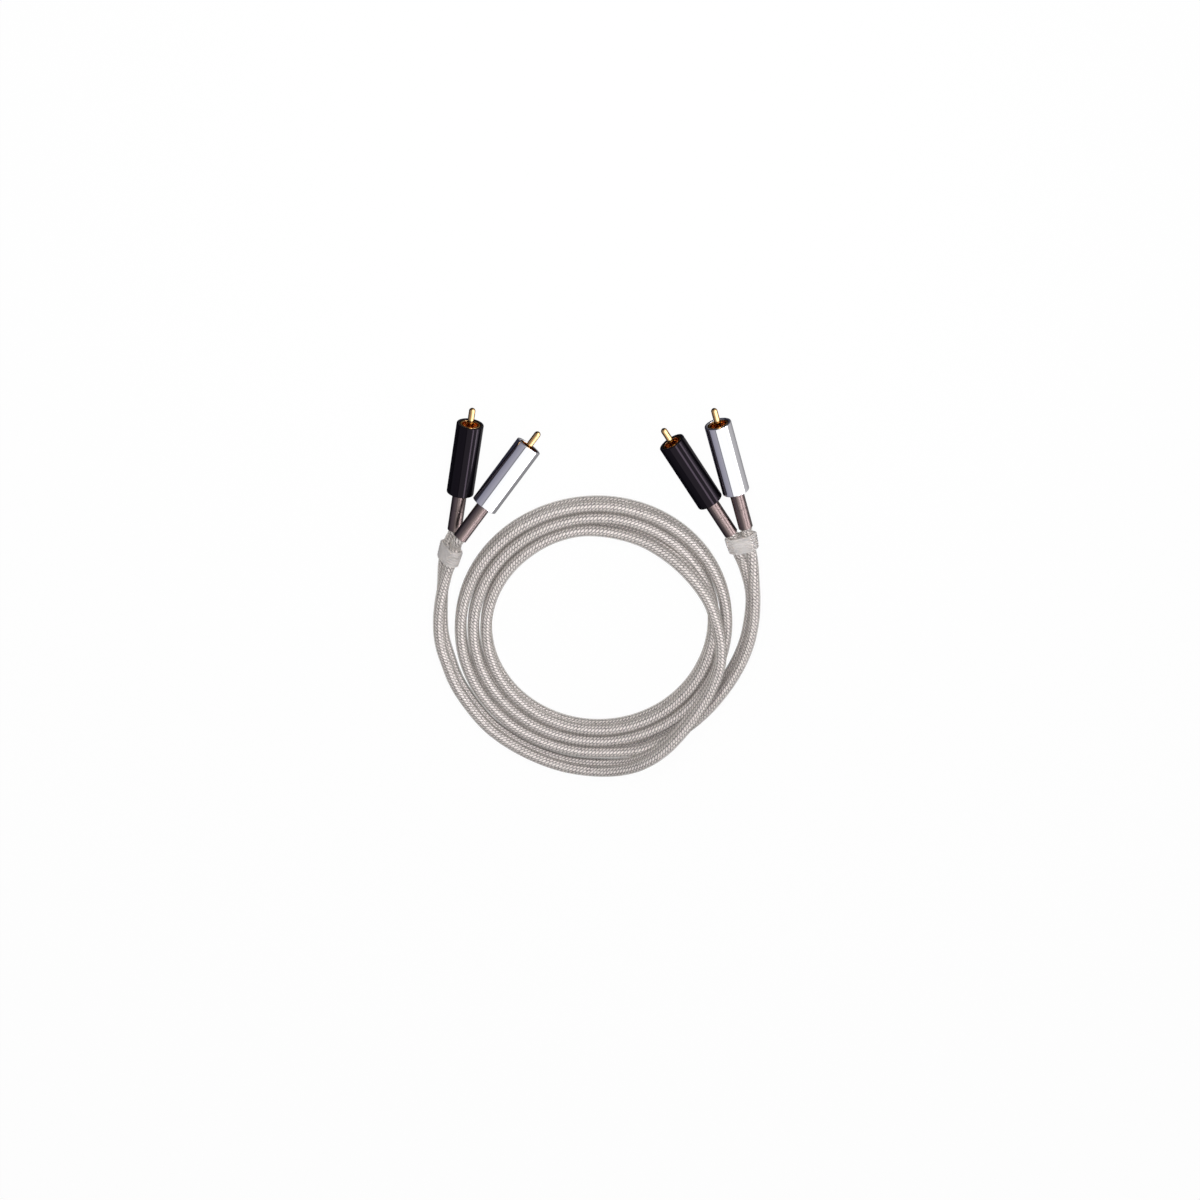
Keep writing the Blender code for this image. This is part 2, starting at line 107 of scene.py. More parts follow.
# Plugs, inside: a depth counts back from the front face
SHELL_CAVITY_WALL = 1.1 * MM
SHELL_REAR_WALL = 4.5 * MM
MOUTH_DEPTH = 9.0 * MM
COLLAR_RECESS = 0.2 * MM
COLLAR_FLANGE = 1.5 * MM
COLLAR_WEB_DEPTH = 8.5 * MM
COLLAR_WEB_BORE = 5.4 * MM
TAIL_WALL = 0.8 * MM
TAIL_END_DEPTH = 24.0 * MM
PIN_FLANGE_DIAMETER = 4.6 * MM
PIN_FLANGE_DEPTH = 2.6 * MM
PIN_FLANGE_LENGTH = 0.8 * MM
PIN_FLANGE_EASE = 0.1 * MM
PIN_NOSE_POINTS = 12
PIN_CREASE = 0.01 * MM
PIN_END_DEPTH = 13.0 * MM
SOLDER_CUP_BORE = 2.0 * MM
SOLDER_CUP_DEPTH = 3.0 * MM
INSULATOR_BOSS = 1.8 * MM
SLEEVE_BORE = 6.2 * MM
SLEEVE_FLANGE_LENGTH = 1.6 * MM
SLEEVE_RING_PLACE = 9.0 * MM
SLEEVE_RING_DEPTH = 0.12 * MM
SLEEVE_RING_WIDTH = 0.5 * MM
LEAD_END_DEPTH = 18.0 * MM

# How far the corners of the turned pieces are eased, in how many steps and with how much of
# an edge at most, and how many steps go round each piece
SHELL_EASE = 0.45 * MM
COLLAR_EASE = 0.2 * MM
SMALL_EASE = 0.15 * MM
EASE_STEPS = 4
EASE_SHARE = 0.4
SHELL_STEPS = 96
SLEEVE_STEPS = 72
INNER_STEPS = 64

# Where the plugs lie: heading from +Y towards +X, nose-down angle, side of the point where
# an end's two shells meet, clearance to that point and how far forward of it the rear is
PLUG_ENDS = {
    "left": {
        "meeting": Vector((-61.4 * MM, -5.7 * MM)),
        "black": {"heading": 8.7, "dip": 0.0, "side": -1, "clear": 0.6 * MM, "forward": 1.3 * MM},
        "silver": {"heading": 37.2, "dip": 10.5, "side": 1, "clear": -1.8 * MM, "forward": 1.7 * MM},
    },
    "right": {
        "meeting": Vector((63.4 * MM, -4.7 * MM)),
        "black": {"heading": -31.3, "dip": 0.0, "side": -1, "clear": 0.7 * MM, "forward": 0.5 * MM},
        "silver": {"heading": -14.8, "dip": 0.0, "side": 1, "clear": -0.3 * MM, "forward": 0.6 * MM},
    },
}

# The twin cable's route where it isn't coiled, in millimetres, with its lean in degrees
# (0 stands on edge, and more leans the first core outwards from the coil)
LEFT_ROUTE = [
    (-76.8, -46.0, 7.2, -20),
    (-77.8, -53.0, 6.2, -7),
    (-79.0, -62.2, 5.9, 6),
    (-79.8, -73.5, 5.8, 14),
    (-79.4, -84.9, 5.8, 16),
    (-76.8, -96.4, 5.8, 16),
    (-70.9, -113.2, 5.9, 12),
    (-58.5, -132.5, 5.9, 8),
    (-45.5, -144.5, 5.9, 6),
    (-30.1, -153.6, 6.0, 6),
    (-14.5, -158.7, 6.6, 9),
    (1.9, -159.6, 8.4, 14),
    (15.7, -156.4, 12.6, 3),
    (26.5, -149.6, 17.0, 0),
    (35.9, -141.3, 18.5, 0),
    (44.8, -130.4, 18.5, 0),
    (52.3, -119.0, 18.4, 0),
    (58.3, -107.4, 18.3, 0),
    (61.9, -96.4, 18.3, 0),
    (62.8, -86.0, 18.3, 0),
    (61.4, -74.0, 18.3, 0),
    (56.5, -58.0, 18.3, 0),
    (48.1, -45.0, 17.4, 0),
    (37.3, -35.7, 13.0, 0),
    (24.0, -28.8, 8.4, 2),
    (9.0, -24.8, 6.2, 4),
    (-6.5, -23.4, 5.9, 2),
    (-20.1, -26.5, 5.9, 0),
]
RIGHT_ROUTE = [
    (18.9, -149.6, 5.9, 0),
    (32.1, -144.6, 5.9, 2),
    (44.1, -137.2, 5.9, 5),
    (55.5, -126.4, 5.9, 8),
    (65.1, -113.4, 5.9, 10),
    (71.8, -101.0, 5.9, 12),
    (76.4, -88.4, 5.8, 14),
    (78.7, -75.4, 5.8, 16),
    (79.2, -62.9, 5.8, 15),
    (77.9, -51.9, 5.6, 30),
    (76.0, -42.2, 5.7, 60),
]

# Braid: how much higher the middle of a strand stands than its edges, and the gap between
# the braid and its bedding
STRAND_CROWN = 0.17 * MM
BEDDING_GAP = 0.05 * MM

# Strands: U runs across one and is shifted past 1 for the second way, which also moves their
# place in the range of tones. That is a painted sheen: the second way's strands are painted lighter and
# the first way's darker, as lit and shaded copies of one wire, with random mottle on top. The last sets
# how fine the wires within a strand are
SECOND_WAY_SHIFT = 1.001
SECOND_WAY_PAINTED_SHEEN = 0.7
STRAND_SHEEN_AND_MOTTLE_SPREAD = (0.3, 1.4)
STRAND_WIRES = 1.9

# How much the clear jacket hides, face on and at its edges
JACKET_COVER = (0.04, 0.6)

# How finely the cords are made
SPLINE_STEPS = 32
LEAD_BEND_POINTS = 24
FINE_SPACING = 0.6 * MM
JACKET_SPACING = 2.0 * MM
LOBE_POINTS = 30
LEAD_CORNERS = 40
BEDDING_CORNERS = 16

# Camera: the photograph's frame, its distance and its tilt from straight down
CAMERA_TARGET = Vector((1.5 * MM, -66.7 * MM, 0))
CAMERA_DISTANCE = 1.8
CAMERA_TILT = radians(26.5)
FRAME_WIDTH = 0.612
SENSOR = 36.0

# Floor and lamp
FLOOR_SIZE = 12
FLOOR_GAP = 0.05 * MM
LAMP_SIZE = 0.3
LAMP_PLACE = Vector((0.0, 0.25, 0.55))

# Surround: its even light, and the panels that polish shows, as an angle from overhead
# towards +X in degrees and a share of the full strength. Beyond 90 they stand for the floor as polish
# shows it, painted dark as a shaded floor and darkest on the -X side.
EVEN_LIGHT_SIDES = (0.185, 0.184, 0.185)
EVEN_LIGHT_ENDS = (0.045, 0.045, 0.048)
SURROUND = [
    (-180, (0.033, 0.032, 0.035)),
    (-165, (0.007, 0.0068, 0.0105)),
    (-91, (0.007, 0.0068, 0.0105)),
    (-90, (0.06, 0.06, 0.075)),
    (-75, (0.075, 0.073, 0.09)),
    (-40, (0.095, 0.092, 0.108)),
    (-27, (0.10, 0.098, 0.112)),
    (-25, (0.045, 0.044, 0.05)),
    (-21, (0.045, 0.044, 0.05)),
    (-18, (0.29, 0.29, 0.29)),
    (24, (0.29, 0.29, 0.29)),
    (26, (1.8, 1.72, 1.8)),
    (35, (1.8, 1.72, 1.8)),
    (38, (0.29, 0.29, 0.29)),
    (62, (0.29, 0.29, 0.29)),
    (64, (2.0, 1.92, 2.0)),
    (70, (2.0, 1.92, 2.0)),
    (80, (0.3, 0.295, 0.3)),
    (87, (0.15, 0.148, 0.15)),
    (90, (0.13, 0.128, 0.13)),
    (116, (0.125, 0.1225, 0.125)),
    (180, (0.033, 0.032, 0.035)),
]

# Towards the surround's two ends along Y its strength falls to a share of the full one
ENDS_START = 0.6
ENDS_FULL = 0.92
ENDS_SHARE = 0.2


def length_property(name, description, millimetres):
    return FloatProperty(name=name, description=description, default=millimetres * MM,
                         min=0.0, precision=5, unit="LENGTH", subtype="DISTANCE")


def colour_property(name, description, colour):
    return FloatVectorProperty(name=name, description=description, default=colour,
                               size=3, min=0.0, max=1.0, subtype="COLOR")


class PhonoCableSettings(bpy.types.PropertyGroup):
    core_diameter: length_property("Core diameter", "Outside diameter of one jacketed core", 5.9)
    web_width: length_property("Web width", "Width of the web that joins the two cores", 1.4)
    braid_diameter: length_property("Braid diameter", "Diameter at the middle of the braid", 5.1)
    braid_relief: length_property("Braid relief", "How far a strand rises over those it crosses", 0.3)
    strand_width: length_property("Strand width", "Width of one flat strand of the braid", 0.86)
    pick_length: length_property("Pick length", "Length along the core between two crossings", 0.93)
    carriers: IntProperty(name="Carriers", description="Strands wound each way round a core",
                          default=8, min=2)
    jacket_colour: colour_property("Jacket", "Tint of the clear jacket", (0.72, 0.675, 0.61))
    braid_colour: colour_property("Braid", "Colour of the braid's wire", (0.57, 0.53, 0.505))
    # The bedding's colour is dark as painted shade in the gaps between the braid's strands
    bedding_colour: colour_property("Bedding", "Colour of what lies under the braid",
                                    (0.165, 0.147, 0.145))


class PhonoPlugSettings(bpy.types.PropertyGroup):
    shell_diameter: length_property("Shell diameter", "Outside diameter of the shell", 13.6)
    shell_length: length_property("Shell length", "Length of the shell", 38.0)
    collar_diameter: length_property("Collar diameter", "Outside diameter of the ground collar", 10.0)
    collar_bore: length_property("Collar bore", "Inside diameter of the ground collar", 8.3)
    pin_diameter: length_property("Pin diameter", "Diameter of the centre pin", 3.2)
    pin_reach: length_property("Pin reach", "How far the pin stands out of the shell", 8.6)
    sleeve_diameter: length_property("Sleeve diameter", "Outside diameter of the sleeve", 7.2)
    sleeve_reach: length_property("Sleeve reach", "Length of the sleeve behind the shell", 20.6)
    lacquer_colour: colour_property("Lacquer", "Colour of the black shells", (0.003, 0.0024, 0.0036))
    nickel_colour: colour_property("Nickel", "Colour of the silver shells", (0.88, 0.885, 0.91))
    gold_colour: colour_property("Gold", "Colour of the collars and pins", (0.80, 0.52, 0.24))
    gunmetal_colour: colour_property("Gunmetal", "Colour of the sleeves", (0.19, 0.149, 0.143))
    insulator_colour: colour_property("Insulator", "Colour of the insulators", (0.92, 0.28, 0.09))


class PhonoSplitterSettings(bpy.types.PropertyGroup):
    length: length_property("Length", "Length of the moulding along the cable", 8.6)
    width: length_property("Width", "Width at the leads' end", 16.6)
    thickness: length_property("Thickness", "Thickness of the moulding", 7.8)
    taper: length_property("Taper", "How much narrower the cable's end is", 1.4)
    rib_depth: length_property("Rib depth", "Depth of the grooves between the ribs", 1.1)
    ribs: IntProperty(name="Ribs", description="Ribs round the narrow sides", default=6, min=1)
    colour: colour_property("Moulding", "Colour of the milky moulding", (0.83, 0.79, 0.765))


class PhonoStageSettings(bpy.types.PropertyGroup):
    floor_colour: colour_property("Floor", "Colour of the floor", (0.86, 0.86, 0.86))
    floor_glow: FloatProperty(name="Floor glow",
                              description="Share of the floor that shows as plain white",
                              default=0.96, min=0.0, max=1.0, subtype="FACTOR")
    sky_strength: FloatProperty(name="Surround", description="Strength of the studio surround",
                                default=4.0, min=0.0)
    key_power: FloatProperty(name="Key lamp", description="Power of the soft lamp",
                             default=2.7, min=0.0, unit="POWER")


def settings(group):
    return getattr(bpy.context.scene, group)


# Materials

def principled(name, **values):
    """A Principled material with plain values on its sockets, named with underscores."""
    material = bpy.data.materials.new(name)
    material.use_nodes = True
    shader = material.node_tree.nodes["Principled BSDF"]
    sockets = {socket.name.lower().replace(" ", "_"): socket for socket in shader.inputs}
    for key, value in values.items():
        sockets[key].default_value = (*value, 1.0) if key == "base_color" else value
    return material, shader


def add_node(material, kind, **values):
    """A node with its own settings by name and its input sockets' values by number."""
    node = material.node_tree.nodes.new(kind)
    for key, value in values.items():
        if key.startswith("in_"):
            node.inputs[int(key[3:])].default_value = value
        else:
            setattr(node, key, value)
    return node


def wire(material, out_socket, in_socket):
    material.node_tree.links.new(out_socket, in_socket)


def stretched_noise(material, scale):
    """Noise over the piece's own frame, with a scale for each axis."""
    place = add_node(material, "ShaderNodeTexCoord")
    stretch = add_node(material, "ShaderNodeMapping")
    stretch.inputs["Scale"].default_value = scale
    noise = add_node(material, "ShaderNodeTexNoise")
    noise.inputs["Scale"].default_value = 1.0
    noise.inputs["Detail"].default_value = 3.0
    wire(material, place.outputs["Object"], stretch.inputs["Vector"])
    wire(material, stretch.outputs["Vector"], noise.inputs["Vector"])
    return noise.outputs["Fac"]


def vary_colour(material, shader, factor, low, high, spread=(0.35, 0.65)):
    """Base colour between two shades by a factor."""
    ramp = add_node(material, "ShaderNodeValToRGB")
    ramp.color_ramp.elements[0].position = spread[0]
    ramp.color_ramp.elements[0].color = (*low, 1.0)
    ramp.color_ramp.elements[1].position = spread[1]
    ramp.color_ramp.elements[1].color = (*high, 1.0)
    wire(material, factor, ramp.inputs["Fac"])
    wire(material, ramp.outputs["Color"], shader.inputs["Base Color"])


def vary_roughness(material, shader, factor, low, high):
    """Roughness between two values by a factor of noise, most of it from 0.3 to 0.7."""
    spread = add_node(material, "ShaderNodeMapRange")
    spread.inputs["From Min"].default_value = 0.3
    spread.inputs["From Max"].default_value = 0.7
    spread.inputs["To Min"].default_value = low
    spread.inputs["To Max"].default_value = high
    wire(material, factor, spread.inputs["Value"])
    wire(material, spread.outputs["Result"], shader.inputs["Roughness"])


def add_bump(material, shader, height, distance):
    bump = add_node(material, "ShaderNodeBump")
    bump.inputs["Distance"].default_value = distance
    wire(material, height, bump.inputs["Height"])
    wire(material, bump.outputs["Normal"], shader.inputs["Normal"])


def shade(colour, factor):
    return tuple(min(1.0, channel * factor) for channel in colour)


def black_lacquer():
    colour = settings("phono_plug").lacquer_colour
    material, shader = principled("black lacquer", base_color=colour, specular_ior_level=0.17)
    shader.inputs["Specular Tint"].default_value = (0.95, 0.78, 1.0, 1.0)
    grain = stretched_noise(material, (260, 260, 60))
    vary_roughness(material, shader, grain, 0.05, 0.1)
    add_bump(material, shader, stretched_noise(material, (500, 500, 120)), 0.004 * MM)
    return material


def polished_nickel():
    colour = settings("phono_plug").nickel_colour
    material, shader = principled("polished nickel", base_color=colour, metallic=1.0)
    streaks = stretched_noise(material, (900, 900, 12))
    vary_colour(material, shader, streaks, shade(colour, 0.94), colour)
    vary_roughness(material, shader, streaks, 0.05, 0.11)
    return material


def gold_plate():
    colour = settings("phono_plug").gold_colour
    material, shader = principled("gold plate", base_color=colour, metallic=1.0)
    # The dark brown specular tint paints shade onto the gold towards its grazing edges and the pins'
    # tips
    shader.inputs["Specular Tint"].default_value = (0.16, 0.07, 0.02, 1.0)
    rings = stretched_noise(material, (40, 40, 5200))
    vary_colour(material, shader, rings, shade(colour, 0.8), colour)
    vary_roughness(material, shader, rings, 0.06, 0.14)
    return material


def gunmetal():
    colour = settings("phono_plug").gunmetal_colour
    material, shader = principled("polished gunmetal", base_color=colour, metallic=1.0)
    streaks = stretched_noise(material, (1500, 1500, 16))
    vary_colour(material, shader, streaks, shade(colour, 0.72), shade(colour, 1.2))
    vary_roughness(material, shader, streaks, 0.28, 0.4)
    return material


def insulator_plastic():
    colour = settings("phono_plug").insulator_colour
    material, shader = principled("amber insulator", base_color=colour, roughness=0.4)
    cloud = stretched_noise(material, (600, 600, 600))
    vary_colour(material, shader, cloud, shade(colour, 0.75), colour)
    return material


def milky_moulding():
    colour = settings("phono_splitter").colour
    material, shader = principled("milky moulding", base_color=colour, ior=1.5,
                                  transmission_weight=0.5, subsurface_weight=0.3)
    shader.inputs["Subsurface Radius"].default_value = (1.0, 0.9, 0.8)
    shader.inputs["Subsurface Scale"].default_value = 2.0 * MM
    cloud = stretched_noise(material, (420, 420, 420))
    vary_colour(material, shader, cloud, shade(colour, 0.9), shade(colour, 1.06))
    vary_roughness(material, shader, cloud, 0.32, 0.46)
    return material


def clear_jacket():
    """Clear plastic that is seen through face on and greys towards its edges."""
    colour = settings("phono_cable").jacket_colour
    material, shader = principled("clear jacket", base_color=colour, roughness=0.22, ior=1.49,
                                  specular_ior_level=0.28)
    edge = add_node(material, "ShaderNodeLayerWeight")
    edge.inputs["Blend"].default_value = 0.5
    cover = add_node(material, "ShaderNodeMapRange")
    cover.inputs["From Min"].default_value = 0.2
    cover.inputs["From Max"].default_value = 0.9
    cover.inputs["To Min"].default_value = JACKET_COVER[0]
    cover.inputs["To Max"].default_value = JACKET_COVER[1]
    wire(material, edge.outputs["Facing"], cover.inputs["Value"])
    wire(material, cover.outputs["Result"], shader.inputs["Alpha"])
    add_bump(material, shader, stretched_noise(material, (160, 160, 160)), 0.02 * MM)
    return material


def braid_wire():
    """Fine bright wires along each flat strand, with painted sheen: those wound the second way are
    painted lighter and those of the first way darker.
    """
    colour = settings("phono_cable").braid_colour
    material, shader = principled("braid wire", base_color=colour, metallic=0.25, roughness=0.38,
                                  anisotropic=0.6)
    coordinate = add_node(material, "ShaderNodeUVMap", uv_map="strand")
    parts = add_node(material, "ShaderNodeSeparateXYZ")
    second_way = add_node(material, "ShaderNodeMath", operation="GREATER_THAN", in_1=1.0)
    sheen_and_mottle = add_node(material, "ShaderNodeMath", operation="MULTIPLY_ADD", in_1=SECOND_WAY_PAINTED_SHEEN)
    wire(material, coordinate.outputs["UV"], parts.inputs["Vector"])
    wire(material, parts.outputs["X"], second_way.inputs[0])
    wire(material, second_way.outputs[0], sheen_and_mottle.inputs[0])
    wire(material, stretched_noise(material, (700, 700, 700)), sheen_and_mottle.inputs[2])
    # Painted sheen and mottle: the ramp runs from a shaded copy of the wire's colour to a lit one, the
    # second way's strands sit high on it, and noise adds random mottle
    vary_colour(material, shader, sheen_and_mottle.outputs[0], shade(colour, 0.34), shade(colour, 1.45),
                spread=STRAND_SHEEN_AND_MOTTLE_SPREAD)
    wires = add_node(material, "ShaderNodeTexWave", bands_direction="X")
    wires.inputs["Scale"].default_value = STRAND_WIRES
    wire(material, coordinate.outputs["UV"], wires.inputs["Vector"])
    add_bump(material, shader, wires.outputs["Fac"], 0.03 * MM)
    grain = add_node(material, "ShaderNodeTangent", direction_type="UV_MAP", uv_map="strand")
    wire(material, grain.outputs["Tangent"], shader.inputs["Tangent"])
    return material


def braid_bedding():
    # The bedding is darkened to paint the shade that lies in the gaps between the braid's strands
    colour = settings("phono_cable").bedding_colour
    material, shader = principled("braid bedding", base_color=colour, roughness=0.55)
    cloud = stretched_noise(material, (500, 500, 500))
    vary_colour(material, shader, cloud, shade(colour, 0.7), shade(colour, 1.2))
    return material


def crimp_metal():
    material, shader = principled("crimp metal", base_color=(0.6, 0.6, 0.6), metallic=1.0)
    vary_roughness(material, shader, stretched_noise(material, (900, 900, 900)), 0.24, 0.42)
    return material


def wire_insulation():
    colour = (0.72, 0.16, 0.08)
    material, shader = principled("wire insulation", base_color=colour, roughness=0.45)
    cloud = stretched_noise(material, (800, 800, 800))
    vary_colour(material, shader, cloud, shade(colour, 0.85), colour)
    return material


# Making and registering pieces

def register_piece(item, nodes=(), material=None):
    """Links a piece, gives it its material, hangs it on the body and hides the frame's parts that it
    stands for.
    """
    bpy.context.scene.collection.objects.link(item)
    if material:
        item.data.materials.append(material)
    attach(item, BODY)
    if nodes:
        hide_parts(*nodes)
    return item


def mesh_from(name, points, faces):
    """A smooth mesh from arrays of points and of faces that all have as many corners."""
    mesh = bpy.data.meshes.new(name)
    mesh.vertices.add(len(points))
    mesh.vertices.foreach_set("co", np.asarray(points, dtype=np.float32).ravel())
    faces = np.asarray(faces, dtype=np.int32)
    count, corners = faces.shape
    mesh.loops.add(count * corners)
    mesh.loops.foreach_set("vertex_index", faces.ravel())
    mesh.polygons.add(count)
    mesh.polygons.foreach_set("loop_start", np.arange(0, count * corners, corners, dtype=np.int32))
    mesh.polygons.foreach_set("use_smooth", np.full(count, True))
    mesh.update(calc_edges=True)
    return mesh


def rounded(profile, radius):
    """The profile with each corner eased by an arc, as far as its neighbours let it."""
    points = [Vector(point) for point in profile]
    eased = []
    for i, corner in enumerate(points):
        before, after = points[i - 1], points[(i + 1) % len(points)]
        back, ahead = before - corner, after - corner
        room = min(radius, EASE_SHARE * back.length, EASE_SHARE * ahead.length)
        start, end = corner + back.normalized() * room, corner + ahead.normalized() * room
        for k in range(EASE_STEPS + 1):
            t = k / EASE_STEPS
            eased.append((1 - t) ** 2 * start + 2 * t * (1 - t) * corner + t ** 2 * end)
    return eased


def turned(name, plug, profile, closed, material, node, steps):
    """A turned piece from (radius, depth) points that run down its outer side from the front."""
    mesh = bpy.data.meshes.new(name)
    points = [(radius, 0.0, -depth) for radius, depth in profile]
    edges = [(i, i + 1) for i in range(len(points) - 1)]
    if closed:
        edges.append((len(points) - 1, 0))
    mesh.from_pydata(points, edges, [])
    piece = bpy.data.objects.new(name, mesh)
    piece.matrix_world = plug
    register_piece(piece, [node], material)
    turn = piece.modifiers.new("turn", "SCREW")
    turn.axis = "Z"
    turn.angle = 2 * pi
    turn.steps = steps
    turn.render_steps = steps
    turn.use_merge_vertices = True
    turn.merge_threshold = 0.01 * MM
    turn.use_smooth_shade = True
    even = piece.modifiers.new("even shading", "WEIGHTED_NORMAL")
    even.weight = 50
    return piece


# The cable's route

def spline_through(points, spacing):
    """Points at an even spacing on a smooth curve through rows of x, y, z and lean."""
    rows = np.array([tuple(point) for point in points])
    padded = np.vstack([rows[:1], rows, rows[-1:]])
    t = np.linspace(0, 1, SPLINE_STEPS, endpoint=False)[:, None]
    pieces = []
    for before, start, end, after in zip(padded, padded[1:], padded[2:], padded[3:]):
        pieces.append(0.5 * (2 * start + (end - before) * t
                             + (2 * before - 5 * start + 4 * end - after) * t ** 2
                             + (3 * start - before - 3 * end + after) * t ** 3))
    return resample(np.vstack([*pieces, rows[-1:]]), spacing)


def resample(rows, spacing):
    """The same polyline with its rows an even spacing apart along x, y and z."""
    steps = np.linalg.norm(np.diff(rows[:, :3], axis=0), axis=1)
    along = np.concatenate([[0], np.cumsum(steps)])
    count = max(2, round(along[-1] / spacing))
    places = np.linspace(0, along[-1], count + 1)
    return np.stack([np.interp(places, along, column) for column in rows.T], axis=1)


def coil_point(angle):
    """A point of the coil at an angle that keeps counting up through its turns."""
    turns, within = divmod(angle - STEP_OUT_START, 2 * pi)
    share = min(1.0, within / (STEP_OUT_END - STEP_OUT_START))
    step_out = turns - 1 + (1 - cos(pi * share)) / 2
    radius = COIL_RADIUS + TURN_PITCH * max(0.0, step_out)
    height = settings("phono_cable").core_diameter
    return (COIL_CENTRE.x + radius * cos(angle), COIL_CENTRE.y + radius * sin(angle), height, 0.0)


def splitter_frame(side):
    """The splitter's frame: local Z runs to the twin cable, local X to the silver plug's side."""
    spot = SPLITTERS[side]
    along = spot["towards_twin"].normalized()
    across = UP.cross(along)
    roll = radians(spot["roll"])
    width = across * cos(roll) + UP * sin(roll)
    turn = Matrix((width, along.cross(width), along)).transposed().to_4x4()
    return Matrix.Translation(spot["centre"]) @ turn


def twin_end(side):
    """The twin cable's straight end, from inside a splitter to just outside."""
    place = splitter_frame(side)
    roll = SPLITTERS[side]["roll"]
    lean = radians(roll - 90 if side == "left" else 90 - roll)
    mouth = settings("phono_splitter").length / 2
    levels = (mouth - SOCKET_DEPTH + SEAT_GAP, mouth + SEAT_GAP, mouth + SEAT_GAP + TWIN_STRAIGHT)
    return [(*(place @ Vector((0, 0, level))), lean) for level in levels]


def twin_route(spacing):
    """The whole twin cable, as evenly spaced rows of x, y, z and lean."""
    scale = np.array((MM, MM, MM, pi / 180))
    left = np.array(LEFT_ROUTE) * scale
    right = np.array(RIGHT_ROUTE) * scale
    turn_count = (COIL_END - COIL_START) / (2 * pi)
    count = round(COIL_POINTS_A_TURN * turn_count)
    coil = [coil_point(COIL_START + (COIL_END - COIL_START) * i / count) for i in range(count + 1)]
    first, last = twin_end("left"), list(reversed(twin_end("right")))
    free = spline_through([first[-1], *left, *coil, *right, last[0]], spacing)
    return resample(np.vstack([first[:-1], free, last[1:]]), spacing)


def unit(rows):
    return rows / np.linalg.norm(rows, axis=1, keepdims=True)


def route_frames(rows):
    """For each row: its place, the way along, the way to the first core and the third axis."""
    places = rows[:, :3]
    along = unit(np.gradient(places, axis=0))
    outward = unit(np.cross(along, np.array(UP)))
    upward = np.cross(outward, along)
    lean = rows[:, 3:4]
    to_core = upward * np.cos(lean) + outward * np.sin(lean)
    return places, along, to_core, np.cross(along, to_core)


def swept(name, rows, section):
    """A closed skin of a section's (across, to core) points along the rows, with end faces."""
    places, along, to_core, across = route_frames(rows)
    section = np.array(section)
    points = (places[:, None] + across[:, None] * section[None, :, :1]
              + to_core[:, None] * section[None, :, 1:])
    rings, corners = points.shape[:2]
    start = np.arange(rings - 1)[:, None] * corners
    here = np.arange(corners)[None, :]
    after = np.roll(np.arange(corners), -1)[None, :]
    faces = np.stack([start + here, start + after,
                      start + corners + after, start + corners + here], axis=-1)
    mesh = mesh_from(name, points.reshape(-1, 3), faces.reshape(-1, 4))
    skin = bmesh.new()
    skin.from_mesh(mesh)
    skin.verts.ensure_lookup_table()
    skin.faces.new([skin.verts[i] for i in reversed(range(corners))])
    skin.faces.new([skin.verts[(rings - 1) * corners + i] for i in range(corners)])
    bmesh.ops.recalc_face_normals(skin, faces=skin.faces)
    skin.to_mesh(mesh)
    skin.free()
    return mesh


def figure_eight():
    """The twin cable's section: two round cores joined by a web."""
    sizes = settings("phono_cable")
    radius = sizes.core_diameter / 2
    reach = np.arcsin(sizes.web_width / 2 / radius)
    angles = np.linspace(-pi / 2 + reach, 1.5 * pi - reach, LOBE_POINTS)
    lobe = [(radius * cos(angle), radius + radius * sin(angle)) for angle in angles]
    return lobe + [(-x, -y) for x, y in lobe]


def round_section(radius, corners):
    angles = np.linspace(0, 2 * pi, corners, endpoint=False)
    return [(radius * cos(angle), radius * sin(angle)) for angle in angles]


def core_rows(rows, offset, spacing):
    """The middle line of one core, set off from the twin's own line towards its first core."""
    places, _, to_core, _ = route_frames(rows)
    return resample(np.column_stack([places + to_core * offset, rows[:, 3]]), spacing)


